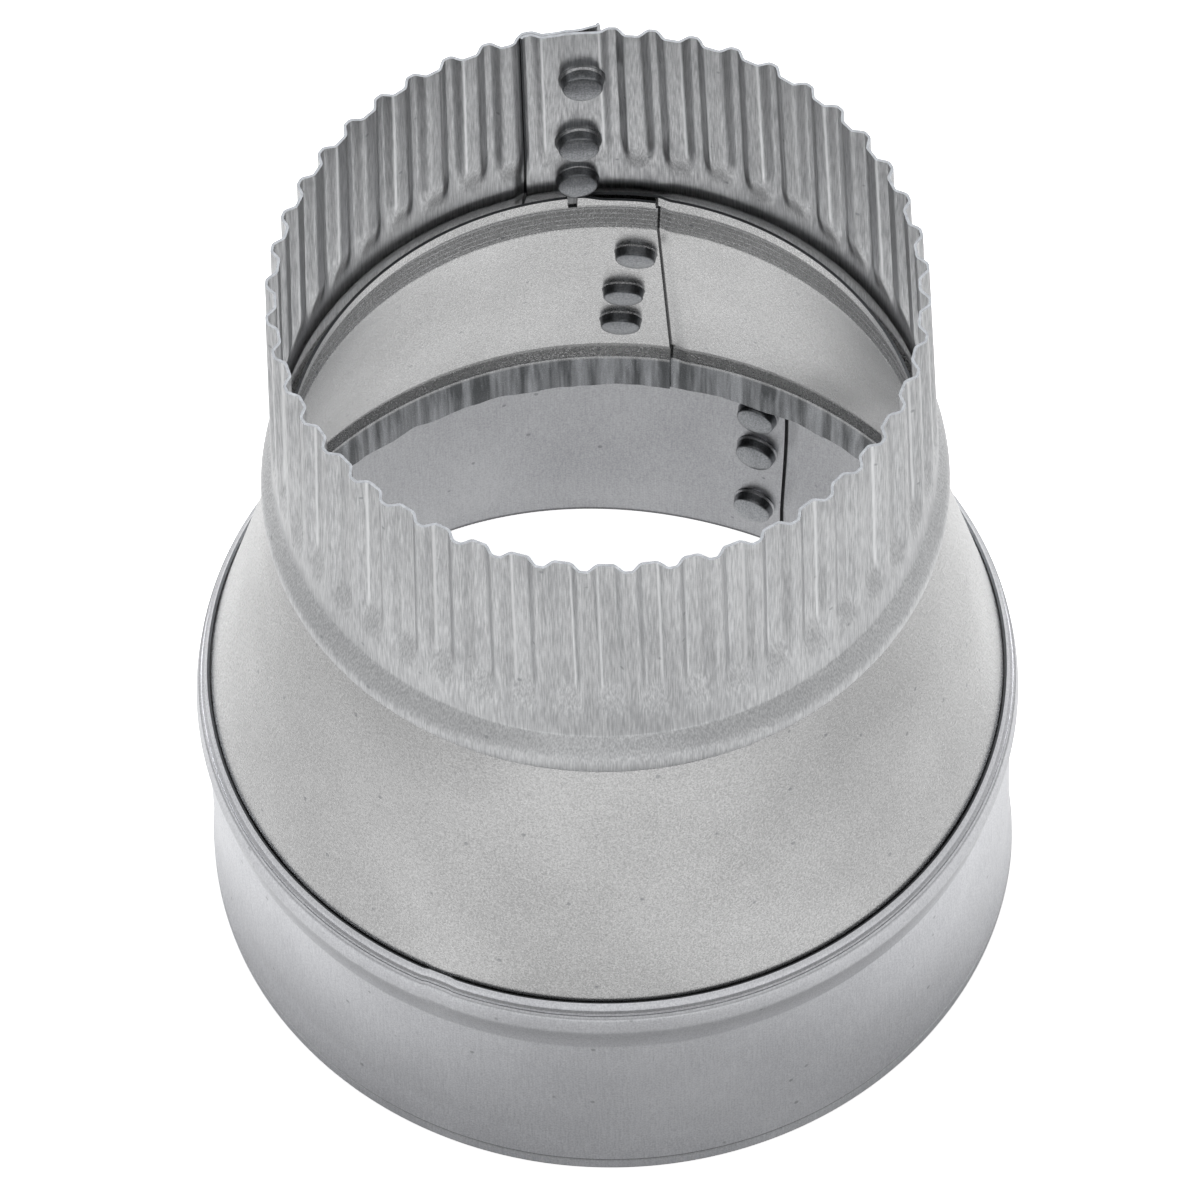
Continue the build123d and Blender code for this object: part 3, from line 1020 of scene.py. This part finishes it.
def galvanised(name, light, dark, inner, streaks, roughness, bump_depth, slide=None, seam=0.0, rings=(),
               flange_top=None, ribs=False):
    """Zinc-coated steel: light and dark are its two greys, inner how much of them the inner face keeps (painted
    shade).
    """
    material, tree, shader = new_material(name)
    place = add_node(tree, "TexCoord").outputs["Object"]
    upright = add_node(tree, "Mapping", {"Vector": place, "Scale": (1.0, 1.0, STREAK_STRETCH)}).outputs["Vector"]
    fine = zinc_grain(tree, place, upright, streaks)
    side = facing_out(tree, place)
    # A share below 1 darkens the inner face: painted shade for the inside of the duct.
    share = by_side(tree, side, inner, SIDE_REACH)
    zinc = zinc_colour(tree, place, fine, light, dark)
    colour = add_node(tree, "Mix", {0: share, 6: linear("#000000"), 7: zinc}, data_type="RGBA").outputs[2]
    height = add_node(tree, "SeparateXYZ", {"Vector": place}).outputs["Z"]
    if slide is not None:
        azimuth = azimuth_at(tree, place, slide)
        if ribs:
            colour = painted_rib_highlights(tree, height, azimuth, colour)
        colour = seam_shadow(tree, azimuth, side, seam, colour)
    # Each of the rings is a band of painted shade.
    for ring in rings:
        colour = painted_shade_ring(tree, height, side, ring, colour)
    if flange_top is not None:
        colour = darker_foot_patches(tree, height, upright, flange_top, colour)
    rough = add_node(
        tree, "MapRange",
        {"Value": fine, "From Min": FINE_RANGE[0], "From Max": FINE_RANGE[1],
         "To Min": roughness + ROUGHNESS_SPREAD, "To Max": roughness - ROUGHNESS_SPREAD},
    ).outputs["Result"]
    bump = add_node(tree, "Bump", {"Height": fine, "Strength": 1.0, "Distance": bump_depth * MM}).outputs["Normal"]
    shader.inputs["Metallic"].default_value = 1.0
    tree.links.new(colour, shader.inputs["Base Color"])
    tree.links.new(rough, shader.inputs["Roughness"])
    tree.links.new(bump, shader.inputs["Normal"])
    print(name, "nodes", len(tree.nodes))
    return material


print("roughness spreads by", ROUGHNESS_SPREAD, "around its middle")

# %% [markdown]
# A sheared edge is bare steel: the shears tear it, so it is darker and rougher than the zinc, with a grain of
# 0.8 mm. The buttons have their zinc stretched over the punch, which leaves it thinner, darker and a bit duller.

# %% Cut edges and buttons
TORN_GRAIN = 0.8
TORN_ROUGHNESS = (0.42, 0.6)


def cut_steel(name, colour):
    """The sheared edge of the sheet: bare torn steel."""
    material, tree, shader = new_material(name)
    place = add_node(tree, "TexCoord").outputs["Object"]
    grain = add_node(
        tree, "TexNoise", {"Vector": place, "Scale": per_metre(TORN_GRAIN), "Detail": 2.0}
    ).outputs["Fac"]
    rough = add_node(
        tree, "MapRange", {"Value": grain, "To Min": TORN_ROUGHNESS[0], "To Max": TORN_ROUGHNESS[1]}
    ).outputs["Result"]
    shader.inputs["Base Color"].default_value = linear(colour)
    shader.inputs["Metallic"].default_value = 1.0
    tree.links.new(rough, shader.inputs["Roughness"])
    return material


edge_steel = cut_steel("cut_steel_edge", "#707275")
punched_zinc = galvanised("punched_zinc", "#A2A4A7", "#7C7E81", 1.0, 0.3, 0.36, 0.006)

# %% [markdown]
# The plain collar was wiped cleanest and is the lightest and bluest. The cone is plain grey with hardly any
# streaks. The crimped collar is the most streaked, because the crimping wheels pull the sheet along. Each
# finished sheet rides on the part's one body and stands in for its CAD node.

# %% Finishes of the three sheets
# Dark rings by height are painted shade: on the plain collar in the score line, at the bottom edge, in the lip's
# two fine lines and over the bead; on the cone over its upper groove; on the crimped collar above its lower edge.
LARGE_SHADE_RINGS = (
    (SCORE_LINE, 0.14, 0.08, 0.75, 0.0), (0.16, 0.16, 0.08, 0.6, 1.0), (45.25, 0.05, 0.08, 0.3, 1.0),
    (45.95, 0.05, 0.08, 0.3, 1.0), (41.6, 1.6, 3.0, 0.17, 0.0),
)
CONE_SHADE_RINGS = ((98.8, 2.2, 0.08, 0.18, 1.0),)
CRIMPED_SHADE_RINGS = ((97.9, 0.12, 0.08, 0.35, 1.0),)
LARGE_SLIDE = (8.0, 36.0, 0.42, 0.0)
CONE_SLIDE = (48.0, 97.0, 0.0, 0.35)
CRIMPED_SLIDE = (112.0, 149.5, 0.33, -0.28)
FLANGE_TOP = 42.6

finishes = {
    plain_collar: ("plain_collar", galvanised(
        "galvanised_plain_collar", "#E2E3E6", "#C2C3C7", 0.56, 0.35, 0.32, 0.004,
        LARGE_SLIDE, LARGE_LAP_START - 0.2, LARGE_SHADE_RINGS)),
    cone: ("cone", galvanised(
        "galvanised_cone", "#D3D3D3", "#AEAEAE", 1.0, 0.2, 0.28, 0.005,
        CONE_SLIDE, CONE_LAP_START - 0.22, CONE_SHADE_RINGS, flange_top=FLANGE_TOP)),
    crimped_collar: ("crimped_collar", galvanised(
        "galvanised_crimped_collar", "#D4D5D6", "#ABACAE", 0.88, 0.85, 0.33, 0.006,
        CRIMPED_SLIDE, INNER_END + 0.2, CRIMPED_SHADE_RINGS, ribs=True)),
}
for piece, (node_name, finish) in finishes.items():
    for slot, material in enumerate((finish, edge_steel, punched_zinc)):
        piece.data.materials[slot] = material
    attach(piece, "root")
    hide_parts(node_name)
    print(piece.name, "stands in for", node_name)

# %% [markdown]
# The photograph is a cut-out on pure white. Sheet metal shows mostly what it mirrors, and its upright walls mirror
# the floor, so the floor carries the picture. It is slightly greyer far out on both sides, which shades the
# flanks of the part.

# %% Floor
FLOOR_SIZE = 6.0
BESIDE = (85.0, 170.0)
floor_mesh = bpy.data.meshes.new("floor")
half = FLOOR_SIZE / 2
floor_corners = [(-half, -half, 0), (half, -half, 0), (half, half, 0), (-half, half, 0)]
floor_mesh.from_pydata(floor_corners, [], [(0, 1, 2, 3)])
floor = bpy.data.objects.new("floor", floor_mesh)
bpy.context.scene.collection.objects.link(floor)
paper, tree, paper_shader = new_material("white_paper_floor")
paper_shader.inputs["Roughness"].default_value = 0.9
paper_shader.inputs["Specular IOR Level"].default_value = 0.1
place = add_node(tree, "TexCoord").outputs["Object"]
spot = add_node(
    tree, "VectorMath", {0: place, 1: (DRIFTS[0] * MM, 0.0, 0.0)}, operation="SUBTRACT"
).outputs["Vector"]
parts = add_node(tree, "SeparateXYZ", {"Vector": spot})
sideways = add_node(tree, "Math", {0: parts.outputs["X"]}, operation="ABSOLUTE").outputs[0]
beside = add_node(
    tree, "MapRange", {"Value": sideways, "From Min": BESIDE[0] * MM, "From Max": BESIDE[1] * MM}
).outputs["Result"]
greyer = add_node(
    tree, "Mix", {0: beside, 6: linear("#F6F6F6"), 7: linear("#D0D0D0")}, data_type="RGBA"
).outputs[2]
tree.links.new(greyer, paper_shader.inputs["Base Color"])
print("floor", FLOOR_SIZE, "m")

# %% [markdown]
# The floor adds a glow for the camera, so that it stays white there and still keeps a soft shadow. It adds another
# for reflections inside the duct, where hardly any light gets down: it is strongest at the far side, which the
# cone mirrors, with a brighter strip that the round wall below the crimps mirrors.

# %% Glow of the floor
INSIDE = 63.6
INSIDE_SOFT = 0.6
GLOW_OUTSIDE = 0.72
GLOW_RUN = (-42.0, 38.0)
GLOW_LEVELS = (0.18, 0.86)
STRIP_PLACE, STRIP_HALF, STRIP_SOFT, STRIP_GLOW = -20.0, 6.0, 5.0, 0.75

rays = add_node(tree, "LightPath")
from_axis = add_node(tree, "VectorMath", {0: spot}, operation="LENGTH").outputs["Value"]
within = add_node(
    tree, "MapRange",
    {"Value": from_axis, "From Min": INSIDE * MM, "From Max": (INSIDE + INSIDE_SOFT) * MM,
     "To Min": 1.0, "To Max": 0.0},
).outputs["Result"]
back = parts.outputs["Y"]
rising = add_node(
    tree, "MapRange",
    {"Value": back, "From Min": GLOW_RUN[0] * MM, "From Max": GLOW_RUN[1] * MM,
     "To Min": GLOW_LEVELS[0], "To Max": GLOW_LEVELS[1]},
).outputs["Result"]
strip = near(tree, back, STRIP_PLACE * MM, STRIP_HALF * MM, STRIP_SOFT * MM, STRIP_GLOW)
spill = add_node(tree, "Math", {0: rising, 1: strip}, operation="ADD").outputs[0]
for_camera = add_node(tree, "Mix", {0: within, 2: GLOW_OUTSIDE, 3: 1.0}, data_type="FLOAT").outputs[0]
for_metal = add_node(tree, "Mix", {0: within, 2: 0.0, 3: spill}, data_type="FLOAT").outputs[0]
camera_glow = add_node(
    tree, "Math", {0: for_camera, 1: rays.outputs["Is Camera Ray"]}, operation="MULTIPLY"
).outputs[0]
glow = add_node(
    tree, "Math", {0: for_metal, 1: rays.outputs["Is Glossy Ray"], 2: camera_glow}, operation="MULTIPLY_ADD"
).outputs[0]
paper_shader.inputs["Emission Color"].default_value = (1.0, 1.0, 1.0, 1.0)
tree.links.new(glow, paper_shader.inputs["Emission Strength"])
floor_mesh.materials.append(paper)
print("the floor glows within", INSIDE, "mm of the axis for reflections")

# %% [markdown]
# The world is a white tent: bright near the horizon and dimmer overhead, so that faces turned upwards don't burn
# out. The camera sees it as plain white. Elevation is given as the height of a unit vector, 1 straight overhead.

# %% World
TENT_RISE = (0.3, 0.8)
TENT_LEVELS = (0.9, 0.28)
world = bpy.data.worlds.new("white_tent")
bpy.context.scene.world = world
world.use_nodes = True
tree = world.node_tree
sky = tree.nodes["Background"]
rays = add_node(tree, "LightPath")
direction = add_node(tree, "TexCoord").outputs["Generated"]
rise = add_node(tree, "SeparateXYZ", {"Vector": direction}).outputs["Z"]
tent = add_node(
    tree, "MapRange",
    {"Value": rise, "From Min": TENT_RISE[0], "From Max": TENT_RISE[1],
     "To Min": TENT_LEVELS[0], "To Max": TENT_LEVELS[1]},
).outputs["Result"]
sky_level = add_node(
    tree, "Mix", {0: rays.outputs["Is Camera Ray"], 2: tent, 3: 1.0}, data_type="FLOAT"
).outputs[0]
sky.inputs["Color"].default_value = (1.0, 1.0, 1.0, 1.0)
tree.links.new(sky_level, sky.inputs["Strength"])
print("world", TENT_LEVELS[0], "at the horizon and", TENT_LEVELS[1], "overhead")

# %% [markdown]
# Two large soft boxes hang high up behind the part. They light the floor on both sides and throw the part's own
# soft shadow to the front, which is why the front of the plain collar is the darkest.

# %% Lamps
AIM = Vector((0.0, 0.0, AIM_HEIGHT))


def soft_box(name, place, width, power):
    lamp_data = bpy.data.lights.new(name, "AREA")
    lamp_data.shape = "SQUARE"
    lamp_data.size = width
    lamp_data.energy = power
    lamp = bpy.data.objects.new(name, lamp_data)
    lamp.location = place
    lamp.rotation_euler = (AIM - Vector(place)).to_track_quat("-Z", "Y").to_euler()
    bpy.context.scene.collection.objects.link(lamp)
    return lamp


soft_box("key", (-0.06, 0.46, 1.33), 0.6, 11.0)
soft_box("back", (0.05, 0.95, 1.15), 0.5, 6.5)
bpy.context.scene.view_settings.view_transform = "Standard"
print("lamps", [lamp.name for lamp in bpy.data.lights])
